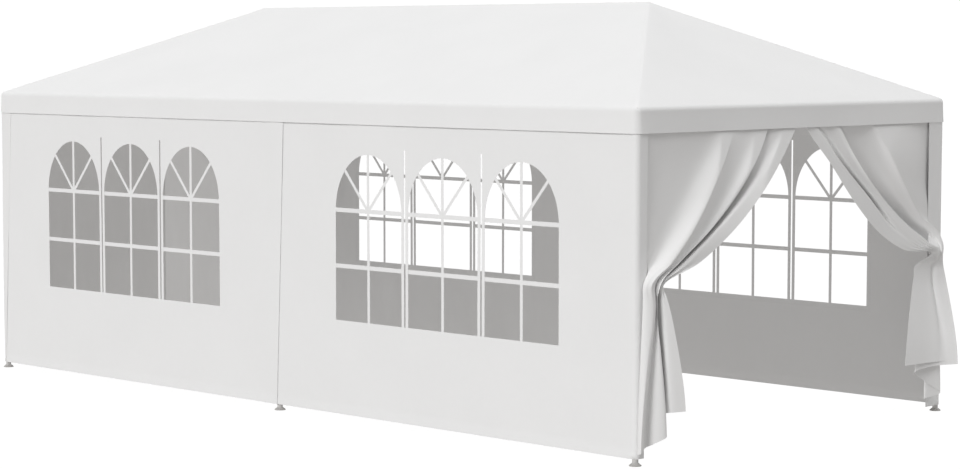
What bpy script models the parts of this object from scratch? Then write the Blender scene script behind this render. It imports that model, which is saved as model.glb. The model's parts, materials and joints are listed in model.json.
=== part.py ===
# Marquee tent, 3 by 6 metres: a white cover with a hip roof on a frame of steel tubes,
# window walls on both long sides, a zipped door wall on the left end and
# two door curtains, tied back, on the right end.
# The origin is on the ground under the middle of the tent. +X runs along the ridge
# towards the open end, -Y is the front and +Z is up. All sizes are in metres.
import math

import bmesh
import bpy
from mathutils import Matrix, Vector

# Driving dimensions of the cover
canopy_half_length = 3.000
canopy_half_width = 1.475
eave_z = 1.964
ridge_z = 2.570
ridge_half_length = 1.813
valance_bottom_z = 1.8235
fabric = 0.002
touch_gap = 0.0003

# Driving dimensions of the frame
leg_half_width = 1.444
tube_radius = 0.0175
sleeve_radius = 0.0195
sleeve_length = 0.100
sleeve_start = 0.005
hub_share = 0.96
round_sides = 16

# Feet: a flared disc with a socket for the leg
foot_disc_radius = 0.035
foot_rim_height = 0.004
foot_cone_height = 0.018
foot_socket_top = 0.075

# Walls
wall_bottom_z = 0.039
wall_top_z = 1.945
wall_under_lap = 0.030
mid_seam_top_x = 0.082
mid_seam_bottom_x = 0.004
front_flap_width = 0.059
back_flap_width = 0.143
left_flap_width = 0.073
wall_end_inset = 0.008
corner_steps = 5

# Windows: three arches in each wall, with a narrow slit between two arches
window_group_x = 1.490
window_pitch = 0.6395
window_half_width = 0.291
window_sill_z = 0.620
window_spring_z = 1.2985
window_arch_height = 0.3435
window_slit_width = 0.012
window_slit_top_z = 1.677
arch_steps = 14
cutter_margin = 0.050
film_margin = 0.035
film_thickness = 0.001

# Door curtains, measured across the door from its middle line
curtain_columns = 17
curtain_rows_above = 8
curtain_rows_below = 5
curtain_depth = 0.056
curtain_folds = 4
curtain_fold_share = 0.28
curtain_hem_depth_share = 0.75
curtain_middle_gap = 0.003
curtain_flap_clearance = 0.0007
layer_split_start = 0.50
layer_split_width = 0.10

# Derived: slopes of the roof planes
front_slope = (ridge_z - eave_z) / canopy_half_width
end_slope = (ridge_z - eave_z) / (canopy_half_length - ridge_half_length)
front_stretch = math.hypot(1, front_slope)
end_stretch = math.hypot(1, end_slope)

# Derived: tube axes lie in planes parallel to the roof, one sleeve radius below it
axis_depth = fabric + touch_gap + sleeve_radius
eave_axis_z = (
    eave_z
    + (canopy_half_width - leg_half_width) * front_slope
    - axis_depth * front_stretch
)
leg_half_length = canopy_half_length - (
    eave_axis_z + axis_depth * end_stretch - eave_z
) / end_slope
ridge_axis_z = ridge_z - axis_depth * front_stretch
ridge_axis_half_length = (
    ridge_half_length + (ridge_z - axis_depth * end_stretch - ridge_axis_z) / end_slope
)

# Derived: fabric layers outside the sleeves, from the leg outwards
layer_step = fabric + touch_gap
wall_inner_y = leg_half_width + sleeve_radius + touch_gap
lapped_inner_y = wall_inner_y + layer_step
flap_inner_y = lapped_inner_y + layer_step
wall_inner_x = leg_half_length + sleeve_radius + touch_gap
curtain_back_x = wall_inner_x + fabric + curtain_flap_clearance
curtain_front_x = curtain_back_x + fabric

front, back = -1, 1
left, right = -1, 1
side_names = {front: "front", back: "back"}
end_names = {left: "left", right: "right"}


def clear_scene():
    for old in list(bpy.data.objects):
        bpy.data.objects.remove(old, do_unlink=True)


def make_material(name, color, roughness, metallic=0.0, alpha=1.0):
    material = bpy.data.materials.new(name)
    material.use_nodes = True
    shader = material.node_tree.nodes["Principled BSDF"]
    shader.inputs["Base Color"].default_value = (*color, 1.0)
    shader.inputs["Roughness"].default_value = roughness
    shader.inputs["Metallic"].default_value = metallic
    shader.inputs["Alpha"].default_value = alpha
    return material


def add_object(name, shape, material, smooth_angle=None):
    # Turn a bmesh into a linked object with outward faces.
    bmesh.ops.recalc_face_normals(shape, faces=shape.faces)
    mesh = bpy.data.meshes.new(name)
    shape.to_mesh(mesh)
    shape.free()
    mesh.materials.append(material)
    if smooth_angle is not None:
        mesh.shade_smooth()
        mesh.set_sharp_from_angle(angle=math.radians(smooth_angle))
    made = bpy.data.objects.new(name, mesh)
    bpy.context.scene.collection.objects.link(made)
    return made


def prism(outline, low, high, axis):
    # Extrude a flat outline: axis 2 reads it as (x, y), axis 1 reads it as (x, z).
    shape = bmesh.new()

    def place(point, level):
        if axis == 2:
            return (point[0], point[1], level)
        return (point[0], level, point[1])

    base = [shape.verts.new(place(point, low)) for point in outline]
    face = shape.faces.new(base)
    grown = bmesh.ops.extrude_face_region(shape, geom=[face])
    moved = [item for item in grown["geom"] if isinstance(item, bmesh.types.BMVert)]
    shift = Vector((0, 0, high - low)) if axis == 2 else Vector((0, high - low, 0))
    bmesh.ops.translate(shape, verts=moved, vec=shift)
    return shape


# Frame


def turn_to(direction):
    return Vector(direction).to_track_quat("Z", "Y")


def make_tube(name, start, end, material, start_cut=sleeve_length):
    # A round tube between two fittings. It butts against a sleeve at each end.
    start = Vector(start)
    end = Vector(end)
    along = (end - start).normalized()
    start = start + along * (start_cut + touch_gap)
    end = end - along * (sleeve_length + touch_gap)
    shape = bmesh.new()
    bmesh.ops.create_cone(
        shape,
        cap_ends=True,
        segments=round_sides,
        radius1=tube_radius,
        radius2=tube_radius,
        depth=(end - start).length,
    )
    tube = add_object(name, shape, material, 40)
    tube.location = (start + end) / 2
    tube.rotation_mode = "QUATERNION"
    tube.rotation_quaternion = turn_to(along)
    return tube


def make_fitting(name, centre, directions, material):
    # A welded fitting: one short sleeve for each tube that meets there, and a round hub.
    hub_shape = bmesh.new()
    bmesh.ops.create_uvsphere(
        hub_shape, u_segments=12, v_segments=8, radius=sleeve_radius * hub_share
    )
    fitting = add_object(name, hub_shape, material)
    fitting.location = centre
    sleeves = []
    for number, direction in enumerate(directions):
        shape = bmesh.new()
        bmesh.ops.create_cone(
            shape,
            cap_ends=True,
            segments=round_sides,
            radius1=sleeve_radius,
            radius2=sleeve_radius,
            depth=sleeve_length - sleeve_start,
            matrix=Matrix.Translation((0, 0, (sleeve_length + sleeve_start) / 2)),
        )
        sleeve = add_object(f"{name}_sleeve_{number}", shape, material)
        sleeve.location = centre
        sleeve.rotation_mode = "QUATERNION"
        sleeve.rotation_quaternion = turn_to(direction)
        union = fitting.modifiers.new(f"join_{number}", "BOOLEAN")
        union.operation = "UNION"
        union.solver = "EXACT"
        union.object = sleeve
        sleeves.append(sleeve)
    bake_modifiers(fitting)
    for sleeve in sleeves:
        bpy.data.objects.remove(sleeve, do_unlink=True)
    fitting.data.shade_smooth()
    fitting.data.set_sharp_from_angle(angle=math.radians(40))
    return fitting


def bake_modifiers(target):
    # Replace a mesh by what its modifiers make of it.
    bpy.context.view_layer.update()
    graph = bpy.context.evaluated_depsgraph_get()
    result = bpy.data.meshes.new_from_object(target.evaluated_get(graph))
    result.name = target.name
    target.modifiers.clear()
    target.data = result


def make_foot(name, x, y, material):
    # The foot's profile turned about the leg's axis.
    profile = [
        (0, 0),
        (foot_disc_radius, 0),
        (foot_disc_radius, foot_rim_height),
        (tube_radius, foot_cone_height),
        (tube_radius, foot_socket_top),
        (0, foot_socket_top),
    ]
    shape = bmesh.new()
    line = [shape.verts.new((radius, 0, height)) for radius, height in profile]
    edges = [shape.edges.new(pair) for pair in zip(line, line[1:])]
    bmesh.ops.spin(
        shape,
        geom=line + edges,
        cent=(0, 0, 0),
        axis=(0, 0, 1),
        angle=2 * math.pi,
        steps=round_sides,
        use_merge=True,
    )
    bmesh.ops.remove_doubles(shape, verts=shape.verts, dist=1e-5)
    foot = add_object(name, shape, material, 40)
    foot.location = (x, y, 0)
    return foot


def make_frame(steel, fitting_steel, foot_plastic):
    leg_places = {"left": -leg_half_length, "middle": 0.0, "right": leg_half_length}
    down = Vector((0, 0, -1))
    along_x = Vector((1, 0, 0))
    along_y = Vector((0, 1, 0))
    ridge_ends = {
        end: Vector((end * ridge_axis_half_length, 0, ridge_axis_z))
        for end in (left, right)
    }
    ridge_middle = Vector((0, 0, ridge_axis_z))
    hips = {left: [], right: []}
    middle_rafters = []
    for side in (front, back):
        side_name = side_names[side]
        y = side * leg_half_width
        for place, x in leg_places.items():
            make_foot(f"foot_{side_name}_{place}", x, y, foot_plastic)
            top = Vector((x, y, eave_axis_z))
            name = f"leg_{side_name}_{place}"
            make_tube(name, (x, y, 0), top, steel, start_cut=foot_socket_top)
        middle = Vector((0, y, eave_axis_z))
        to_ridge = (ridge_middle - middle).normalized()
        make_fitting(
            f"eave_fitting_{side_name}",
            middle,
            [down, along_x, -along_x, to_ridge],
            fitting_steel,
        )
        make_tube(f"middle_rafter_{side_name}", middle, ridge_middle, steel)
        middle_rafters.append(-to_ridge)
        for end in (left, right):
            end_name = end_names[end]
            corner = Vector((end * leg_half_length, y, eave_axis_z))
            hip = (ridge_ends[end] - corner).normalized()
            make_fitting(
                f"corner_fitting_{side_name}_{end_name}",
                corner,
                [down, -end * along_x, -side * along_y, hip],
                fitting_steel,
            )
            make_tube(f"eave_tube_{side_name}_{end_name}", middle, corner, steel)
            make_tube(
                f"hip_rafter_{side_name}_{end_name}", corner, ridge_ends[end], steel
            )
            hips[end].append(-hip)
    make_fitting(
        "ridge_fitting_middle",
        ridge_middle,
        [along_x, -along_x] + middle_rafters,
        fitting_steel,
    )
    for end in (left, right):
        end_name = end_names[end]
        make_fitting(
            f"ridge_fitting_{end_name}",
            ridge_ends[end],
            [-end * along_x] + hips[end],
            fitting_steel,
        )
        make_tube(f"ridge_tube_{end_name}", ridge_middle, ridge_ends[end], steel)
        make_tube(
            f"eave_tube_{end_name}",
            (end * leg_half_length, -leg_half_width, eave_axis_z),
            (end * leg_half_length, leg_half_width, eave_axis_z),
            steel,
        )


# Cover


def make_roof_panel(name, plan, height_at, thickness, material):
    # A sloping panel of the cover: its plan outline under the roof plane.
    shape = bmesh.new()
    upper = [shape.verts.new((x, y, height_at(x, y))) for x, y in plan]
    lower = [shape.verts.new((x, y, height_at(x, y) - thickness)) for x, y in plan]
    shape.faces.new(upper)
    shape.faces.new(lower[::-1])
    for here in range(len(plan)):
        there = (here + 1) % len(plan)
        shape.faces.new((upper[there], upper[here], lower[here], lower[there]))
    return add_object(name, shape, material)


def make_cover(cover_fabric):
    valance_top = eave_z - fabric * front_stretch - touch_gap
    end_valance_top = eave_z - fabric * end_stretch - touch_gap

    def front_height(x, y):
        return ridge_z - abs(y) * front_slope

    def end_height(x, y):
        return ridge_z - (abs(x) - ridge_half_length) * end_slope

    for side in (front, back):
        ridge_y = side * touch_gap
        plan = [
            (-ridge_half_length + touch_gap, ridge_y),
            (ridge_half_length - touch_gap, ridge_y),
            (canopy_half_length - touch_gap, side * canopy_half_width),
            (-canopy_half_length + touch_gap, side * canopy_half_width),
        ]
        name = side_names[side]
        make_roof_panel(
            f"roof_{name}", plan, front_height, fabric * front_stretch, cover_fabric
        )
        outer = side * canopy_half_width
        inner = side * (canopy_half_width - fabric)
        outline = [
            (-canopy_half_length, valance_bottom_z),
            (canopy_half_length, valance_bottom_z),
            (canopy_half_length, valance_top),
            (-canopy_half_length, valance_top),
        ]
        strip = prism(outline, min(outer, inner), max(outer, inner), 1)
        add_object(f"valance_{name}", strip, cover_fabric)
    for end in (left, right):
        plan = [
            (end * ridge_half_length, 0),
            (end * canopy_half_length, canopy_half_width - touch_gap),
            (end * canopy_half_length, -canopy_half_width + touch_gap),
        ]
        name = end_names[end]
        make_roof_panel(
            f"roof_{name}", plan, end_height, fabric * end_stretch, cover_fabric
        )
        outer = end * canopy_half_length
        inner = end * (canopy_half_length - fabric)
        half = canopy_half_width - fabric - touch_gap
        outline = [(inner, -half), (outer, -half), (outer, half), (inner, half)]
        strip = prism(outline, valance_bottom_z, end_valance_top, 2)
        add_object(f"valance_{name}", strip, cover_fabric)


# Walls and windows


def arch_outline(centre_x):
    # A straight-sided window with a half-elliptic head, as (x, z) points.
    points = [
        (centre_x - window_half_width, window_sill_z),
        (centre_x + window_half_width, window_sill_z),
    ]
    for step in range(arch_steps + 1):
        angle = math.pi * step / arch_steps
        points.append(
            (
                centre_x + window_half_width * math.cos(angle),
                window_spring_z + window_arch_height * math.sin(angle),
            )
        )
    return points


def slit_outline(centre_x):
    half = window_slit_width / 2
    return [
        (centre_x - half, window_sill_z),
        (centre_x + half, window_sill_z),
        (centre_x + half, window_slit_top_z),
        (centre_x - half, window_slit_top_z),
    ]


def cut_windows(wall, group_x, side):
    # Cut three arches and two slits through a long wall.
    outlines = [arch_outline(group_x + step * window_pitch) for step in (-1, 0, 1)]
    outlines += [slit_outline(group_x + step * window_pitch) for step in (-0.5, 0.5)]
    near = side * (wall_inner_y - cutter_margin)
    far = side * (flap_inner_y + cutter_margin)
    cutter_shape = bmesh.new()
    for outline in outlines:
        one = prism(outline, min(near, far), max(near, far), 1)
        piece = bpy.data.meshes.new("window_cutter_piece")
        one.to_mesh(piece)
        one.free()
        cutter_shape.from_mesh(piece)
        bpy.data.meshes.remove(piece)
    cutter = add_object(f"cutter_{wall.name}", cutter_shape, wall.data.materials[0])
    cutter.hide_render = True
    cutter.display_type = "WIRE"
    cut = wall.modifiers.new("windows", "BOOLEAN")
    cut.operation = "DIFFERENCE"
    cut.solver = "EXACT"
    cut.object = cutter
    bake_modifiers(wall)
    bpy.data.objects.remove(cutter, do_unlink=True)


def corner_arc(centre, radius, start, end):
    # Points on a quarter turn about centre, from the angle start to end in degrees.
    points = []
    for step in range(corner_steps + 1):
        angle = math.radians(start + (end - start) * step / corner_steps)
        points.append(
            (
                centre[0] + radius * math.cos(angle),
                centre[1] + radius * math.sin(angle),
            )
        )
    return points


def wrapped_outline(start, centre, flap_end, inner_radius):
    # Plan of a panel that runs along X from start, turns round a leg and ends in a flap.
    # It is drawn for the corner at +X and -Y.
    outer_radius = inner_radius + fabric
    outer = [(start, centre[1] - outer_radius)]
    outer += corner_arc(centre, outer_radius, -90, 0)
    outer.append((centre[0] + outer_radius, flap_end))
    inner = [(start, centre[1] - inner_radius)]
    inner += corner_arc(centre, inner_radius, -90, 0)
    inner.append((centre[0] + inner_radius, flap_end))
    return outer + inner[::-1]


def make_walls(wall_fabric, film):
    leg_clearance = sleeve_radius + touch_gap
    for side in (front, back):
        side_name = side_names[side]
        # The left wall is flat and laps over the right one at the middle leg.
        inner = side * lapped_inner_y
        outer = side * (lapped_inner_y + fabric)
        outline = [
            (-leg_half_length + wall_end_inset, wall_bottom_z),
            (mid_seam_bottom_x, wall_bottom_z),
            (mid_seam_top_x, wall_top_z),
            (-leg_half_length + wall_end_inset, wall_top_z),
        ]
        shape = prism(outline, min(inner, outer), max(inner, outer), 1)
        wall = add_object(f"wall_{side_name}_left", shape, wall_fabric)
        cut_windows(wall, -window_group_x, side)
        # The right wall turns round the corner leg and ends in a flap on the open end.
        flap = front_flap_width if side == front else back_flap_width
        centre = (leg_half_length, -leg_half_width)
        outline = wrapped_outline(
            -wall_under_lap, centre, -leg_half_width + flap, leg_clearance
        )
        outline = [(x, -side * y) for x, y in outline]
        shape = prism(outline, wall_bottom_z, wall_top_z, 2)
        wall = add_object(f"wall_{side_name}_right", shape, wall_fabric)
        cut_windows(wall, window_group_x, side)
        # A sheet of clear film closes each wall's windows from inside.
        reach = window_pitch + window_half_width + film_margin
        for end, wall_face in ((left, lapped_inner_y), (right, wall_inner_y)):
            outer = side * (wall_face - touch_gap)
            inner = side * (wall_face - touch_gap - film_thickness)
            group_x = end * window_group_x
            outline = [
                (group_x - reach, window_sill_z - film_margin),
                (group_x + reach, window_sill_z - film_margin),
                (group_x + reach, window_slit_top_z + film_margin),
                (group_x - reach, window_slit_top_z + film_margin),
            ]
            shape = prism(outline, min(inner, outer), max(inner, outer), 1)
            add_object(f"window_film_{side_name}_{end_names[end]}", shape, film)


def make_closed_door(door_fabric):
    # The left end: two halves that meet at the zip and turn round the corner legs.
    radius = sleeve_radius + touch_gap
    centre = (leg_half_length, -(flap_inner_y - radius))
    for side in (front, back):
        outer_radius = radius + fabric
        outline = [(centre[0] + outer_radius, -touch_gap)]
        outline += corner_arc(centre, outer_radius, 0, -90)
        flap_x = centre[0] - left_flap_width
        outline.append((flap_x, centre[1] - outer_radius))
        outline.append((flap_x, centre[1] - radius))
        outline += corner_arc(centre, radius, -90, 0)
        outline.append((centre[0] + radius, -touch_gap))
        outline = [(-x, -side * y) for x, y in outline]
        shape = prism(outline, wall_bottom_z, wall_top_z, 2)
        add_object(f"door_panel_{side_names[side]}", shape, door_fabric)


# Door curtains


def mix(first, last, share):
    return first + (last - first) * share


def smooth_step(share):
    return share * share * (3 - 2 * share)


class Curtain:
    # Half of the door, tied back. A thread runs from the top edge to the neck at the leg
    # and down to the hem: u is 0 at the leg and 1 at the free edge of the cloth.
    # Points are (distance from the door's middle line, height).

    def __init__(self, leg_edge, free_edge, hem_leg, hem_free, hem_heights):
        self.leg_edge = leg_edge
        self.free_edge = free_edge
        self.hem_leg = hem_leg
        self.hem_free = hem_free
        self.hem_heights = hem_heights

    def above(self, u, share):
        # A quadratic curve whose three points are mixed between the two edges.
        points = [
            (mix(a[0], b[0], u), mix(a[1], b[1], u))
            for a, b in zip(self.leg_edge, self.free_edge)
        ]
        weights = ((1 - share) ** 2, 2 * share * (1 - share), share**2)
        across = sum(weight * point[0] for weight, point in zip(weights, points))
        height = sum(weight * point[1] for weight, point in zip(weights, points))
        return across, height

    def below(self, u, share):
        neck_across, neck_height = self.above(u, 1)
        # The two layers of the tail end at different heights.
        split = (u - layer_split_start) / layer_split_width
        step = smooth_step(min(1.0, max(0.0, split)))
        hem_height = mix(self.hem_heights[0], self.hem_heights[1], step)
        hem_across = mix(self.hem_leg, self.hem_free, u)
        across = mix(neck_across, hem_across, math.sin(share * math.pi / 2))
        return across, mix(neck_height, hem_height, share)


near_curtain = Curtain(
    leg_edge=((1.430, 1.818), (1.430, 1.400), (1.425, 0.970)),
    free_edge=((0.065, 1.818), (0.593, 1.158), (1.275, 0.995)),
    hem_leg=1.432,
    hem_free=1.075,
    hem_heights=(0.110, 0.290),
)
far_curtain = Curtain(
    leg_edge=((1.430, 1.818), (1.440, 1.420), (1.455, 1.000)),
    free_edge=((0.046, 1.818), (0.800, 1.060), (1.200, 1.010)),
    hem_leg=1.455,
    hem_free=1.062,
    hem_heights=(0.095, 0.315),
)


def curtain_bulge(u, depth):
    # The cloth stands out from the door in a few long folds.
    swell = math.sin(math.pi * u) ** 0.6 if 0 < u < 1 else 0.0
    wave = math.cos(2 * math.pi * curtain_folds * (u - 0.5))
    return depth * swell * (1 - curtain_fold_share + curtain_fold_share * wave)


def make_curtain(name, curtain, side, material):
    # Rows of points from the top edge to the hem, a front and a back of each row.
    top_row = []
    for column in range(curtain_columns):
        u = column / (curtain_columns - 1)
        across = mix(curtain.leg_edge[0][0], curtain_middle_gap, u)
        top_row.append((across, wall_top_z, 0.0))
    rows = [top_row]
    for step in range(curtain_rows_above + 1):
        share = step / curtain_rows_above
        depth = curtain_depth * smooth_step(share)
        row = []
        for column in range(curtain_columns):
            u = column / (curtain_columns - 1)
            across, height = curtain.above(u, share)
            row.append((across, height, curtain_bulge(u, depth)))
        rows.append(row)
    for step in range(1, curtain_rows_below + 1):
        share = step / curtain_rows_below
        row = []
        for column in range(curtain_columns):
            u = column / (curtain_columns - 1)
            across, height = curtain.below(u, share)
            depth = curtain_depth * mix(1.0, curtain_hem_depth_share, share)
            row.append((across, height, curtain_bulge(u, depth)))
        rows.append(row)
    shape = bmesh.new()
    outer = [
        [shape.verts.new((curtain_front_x + b, side * w, z)) for w, z, b in row]
        for row in rows
    ]
    inner = [
        [shape.verts.new((curtain_back_x, side * w, z)) for w, z, b in row]
        for row in rows
    ]
    for above, below in zip(range(len(rows)), range(1, len(rows))):
        for here in range(curtain_columns - 1):
            there = here + 1
            for skin in (outer, inner):
                corners = (
                    skin[above][here],
                    skin[above][there],
                    skin[below][there],
                    skin[below][here],
                )
                shape.faces.new(corners)
        for edge in (0, curtain_columns - 1):
            corners = (
                outer[above][edge],
                inner[above][edge],
                inner[below][edge],
                outer[below][edge],
            )
            shape.faces.new(corners)
    for row in (0, len(rows) - 1):
        for here in range(curtain_columns - 1):
            there = here + 1
            corners = (
                outer[row][here],
                outer[row][there],
                inner[row][there],
                inner[row][here],
            )
            shape.faces.new(corners)
    return add_object(name, shape, material, 60)


def build():
    clear_scene()
    cover_fabric = make_material("white_cover_fabric", (0.86, 0.86, 0.86), 0.55)
    wall_fabric = make_material("white_wall_fabric", (0.84, 0.84, 0.84), 0.55)
    door_fabric = make_material("white_door_fabric", (0.83, 0.83, 0.83), 0.60)
    film = make_material("clear_window_film", (0.95, 0.96, 0.96), 0.08, alpha=0.2)
    steel = make_material("white_coated_tube", (0.80, 0.80, 0.80), 0.35, 0.2)
    fitting_steel = make_material("white_coated_fitting", (0.74, 0.74, 0.74), 0.4, 0.2)
    foot_plastic = make_material("grey_foot_plastic", (0.62, 0.62, 0.62), 0.5)
    make_frame(steel, fitting_steel, foot_plastic)
    make_cover(cover_fabric)
    make_walls(wall_fabric, film)
    make_closed_door(door_fabric)
    make_curtain("door_curtain_front", near_curtain, front, door_fabric)
    make_curtain("door_curtain_back", far_curtain, back, door_fabric)


build()
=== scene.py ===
# Marquee tent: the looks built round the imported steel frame.
# Everything is in metres: +X runs along the ridge to the open end, -Y is the front, +Z is up.
import json
import math

import bmesh
import bpy
import numpy as np
from mathutils import Matrix, Vector
from mathutils.geometry import delaunay_2d_cdt

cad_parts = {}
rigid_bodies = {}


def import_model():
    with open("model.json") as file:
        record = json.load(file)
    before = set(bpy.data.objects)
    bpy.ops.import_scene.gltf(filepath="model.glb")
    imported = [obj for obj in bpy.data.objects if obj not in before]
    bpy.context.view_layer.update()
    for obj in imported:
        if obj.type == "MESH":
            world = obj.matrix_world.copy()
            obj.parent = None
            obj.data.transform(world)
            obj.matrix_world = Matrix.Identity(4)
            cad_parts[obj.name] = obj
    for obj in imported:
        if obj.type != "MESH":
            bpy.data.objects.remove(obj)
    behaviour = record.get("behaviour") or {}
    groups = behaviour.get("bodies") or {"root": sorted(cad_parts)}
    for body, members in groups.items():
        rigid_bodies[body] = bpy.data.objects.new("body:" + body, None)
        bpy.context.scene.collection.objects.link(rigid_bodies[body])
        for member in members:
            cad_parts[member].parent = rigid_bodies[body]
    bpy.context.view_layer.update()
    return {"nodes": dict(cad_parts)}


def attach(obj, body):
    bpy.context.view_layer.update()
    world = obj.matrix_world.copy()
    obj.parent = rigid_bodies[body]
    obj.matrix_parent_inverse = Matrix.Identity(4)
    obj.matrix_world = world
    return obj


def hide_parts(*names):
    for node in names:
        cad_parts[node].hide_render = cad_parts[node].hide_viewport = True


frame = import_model()
print("frame loaded:", len(frame["nodes"]), "nodes")

# The tent's own measures, as in the CAD source
tent = {
    "halfLength": 3.000,
    "halfWidth": 1.475,
    "eave": 1.964,
    "ridge": 2.570,
    "ridgeHalf": 1.813,
    "valanceBottom": 1.8235,
    "wallBottom": 0.039,
    "wallTop": 1.945,
}

quarterTurn = math.pi / 2


# Node trees


class Wire:
    # A node's output, so that shader and geometry maths reads as plain expressions.
    def __init__(self, tree, socket=None):
        self.tree = tree
        self.socket = socket

    def node(self, kind, settings=None, inputs=None, output=0):
        made = self.tree.nodes.new(kind)
        for name, value in (settings or {}).items():
            setattr(made, name, value)
        fillSockets(made, inputs or {})
        return Wire(self.tree, made.outputs[output])

    def maths(self, operation, *values):
        return self.node("ShaderNodeMath", {"operation": operation}, dict(enumerate(values)))

    def __add__(self, other):
        return self.maths("ADD", self, other)

    def __radd__(self, other):
        return self.maths("ADD", other, self)

    def __sub__(self, other):
        return self.maths("SUBTRACT", self, other)

    def __rsub__(self, other):
        return self.maths("SUBTRACT", other, self)

    def __mul__(self, other):
        return self.maths("MULTIPLY", self, other)

    def __rmul__(self, other):
        return self.maths("MULTIPLY", other, self)

    def __mod__(self, other):
        return self.maths("MODULO", self, other)

    def sine(self):
        return self.maths("SINE", self)

    def absolute(self):
        return self.maths("ABSOLUTE", self)

    def power(self, exponent):
        return self.maths("POWER", self, exponent)

    def over(self, low, high):
        # 0 at low, 1 at high, smooth in between.
        span = {"Value": self, "From Min": low, "From Max": high}
        return self.node("ShaderNodeMapRange", {"interpolation_type": "SMOOTHSTEP"}, span)

    def scaled(self, factors):
        return self.node("ShaderNodeVectorMath", {"operation": "MULTIPLY"}, {0: self, 1: factors})

    def noise(self, scale, detail=2.0, roughness=0.5):
        values = {"Vector": self, "Scale": scale, "Detail": detail, "Roughness": roughness}
        return self.node("ShaderNodeTexNoise", None, values)

    def part(self, axis):
        return self.node("ShaderNodeSeparateXYZ", None, {0: self}, output=axis)


def fillSockets(node, values):
    # A wire is linked; a plain number, colour or object becomes the socket's own value.
    for name, value in values.items():
        if isinstance(value, Wire):
            value.tree.links.new(value.socket, node.inputs[name])
        else:
            node.inputs[name].default_value = value


def mixColours(factor, first, second):
    values = {"Factor": factor, "A": first, "B": second}
    return factor.node("ShaderNodeMix", {"data_type": "RGBA"}, values, output=2)


def grey(level, warmth=0.0):
    return (level + warmth, level, level - warmth, 1.0)


def newMaterial(name, kind="ShaderNodeTexCoord", output="Object"):
    # A material with its shader and the wire that it reads: a place in the tent unless told.
    material = bpy.data.materials.new(name)
    material.use_nodes = True
    tree = material.node_tree
    return material, tree.nodes["Principled BSDF"], Wire(tree).node(kind, output=output)


def dress(shader, colour, roughness, normal):
    fillSockets(shader, {"Base Color": colour, "Roughness": roughness, "Normal": normal})


def bump(height, distance):
    return height.node("ShaderNodeBump", None, {"Height": height, "Distance": distance})


# Materials

clothLook = {
    "tapePitch": 0.0024,  # width of one woven tape
    "weaveHeight": 0.00005,
    "creaseHeight": 0.0011,
    "roughness": 0.62,
    "specular": 0.22,
    "darker": 0.012,
    "lighter": 0.006,
}


def makeCloth(name, level, warmth, creases):
    # White woven polyethylene sheet: flat tapes over and under, coated, with faint fold marks.
    material, shader, flat = newMaterial(name, "ShaderNodeUVMap", "UV")
    turns = math.pi / clothLook["tapePitch"]
    weave = ((flat.part(0) * turns).sine() * (flat.part(1) * turns).sine()).absolute().power(0.6)
    fine = flat.noise(23.0, 4.0, 0.6)
    crumple = (flat.noise(6.0, 5.0, 0.62) - 0.5).absolute()
    shade = (flat.noise(1.7, 3.0) * 0.7 + fine * 0.3).over(0.3, 0.7)
    dark = grey(level - clothLook["darker"], warmth)
    light = grey(level + clothLook["lighter"], warmth)
    height = weave * clothLook["weaveHeight"] + crumple * (clothLook["creaseHeight"] * creases)
    roughness = clothLook["roughness"] - 0.1 + 0.2 * fine
    dress(shader, mixColours(shade, dark, light), roughness, bump(height, 1.0))
    shader.inputs["Specular IOR Level"].default_value = clothLook["specular"]
    return material


def makeFilm():
    # Clear soft window film with a little haze in soft streaks.
    material, shader, spot = newMaterial("windowFilm")
    haze = spot.scaled((1.0, 1.0, 0.25)).noise(7.0, 3.0)
    dress(shader, grey(0.9), 0.06 + 0.08 * haze, bump(spot.noise(3.0), 0.004))
    fillSockets(shader, {"Alpha": 0.012 + 0.03 * haze.over(0.35, 0.75)})
    return material


def makePaint(name, level, grainScale, grainHeight):
    # White powder coat: orange peel, a little dust and faint rub marks.
    material, shader, spot = newMaterial(name)
    dust = spot.noise(9.0, 5.0, 0.65)
    rub = spot.scaled((40.0, 40.0, 3.0)).noise(1.0, 4.0, 0.7).over(0.66, 0.74)
    tone = mixColours(dust.over(0.35, 0.75), grey(level), grey(level - 0.07, 0.006))
    colour = mixColours(rub * 0.35, tone, grey(level - 0.2, 0.004))
    dress(shader, colour, 0.34 + 0.2 * dust + 0.12 * rub, bump(spot.noise(grainScale), grainHeight))
    return material


def makeMoulded(name, level, warmth):
    # Moulded foot: fine spark-eroded grain, darker and duller low down where it meets the ground.
    material, shader, spot = newMaterial(name)
    blotch = spot.noise(60.0, 4.0, 0.6)
    low = 1 - spot.part(2).over(0.0, 0.03)
    worn = (low * 0.5 + blotch * 0.6).over(0.3, 0.95)
    colour = mixColours(worn, grey(level, warmth), grey(level * 0.72, warmth * 1.5))
    dress(shader, colour, 0.5 + 0.25 * blotch, bump(spot.noise(900.0), 0.0002))
    return material


def makePlain(name, level, warmth, roughness, scale, height):
    # Small white trims: printed bars, thread, tape and zip.
    material, shader, spot = newMaterial(name)
    fine = spot.noise(scale, 3.0, 0.6)
    colour = mixColours(fine.over(0.3, 0.7), grey(level - 0.02, warmth), grey(level + 0.01, warmth))
    dress(shader, colour, roughness - 0.06 + 0.12 * fine, bump(fine, height))
    return material


coverCloth = makeCloth("coverCloth", 0.875, 0.0, 0.6)
wallCloth = makeCloth("wallCloth", 0.87, 0.0, 0.8)
doorCloth = makeCloth("doorCloth", 0.87, 0.002, 0.8)
film = makeFilm()
printedBars = makePlain("printedBars", 0.88, 0.0, 0.5, 60.0, 0.0002)
thread = makePlain("thread", 0.86, 0.002, 0.7, 700.0, 0.0002)
zipTape = makePlain("zipTape", 0.82, 0.002, 0.8, 500.0, 0.0003)
zipPlastic = makePlain("zipPlastic", 0.84, 0.0, 0.35, 300.0, 0.0001)
tubePaint = makePaint("tubePaint", 0.84, 420.0, 0.0005)
fittingPaint = makePaint("fittingPaint", 0.80, 260.0, 0.0009)
footPlastic = makeMoulded("footPlastic", 0.60, 0.010)
print("materials made")


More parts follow.
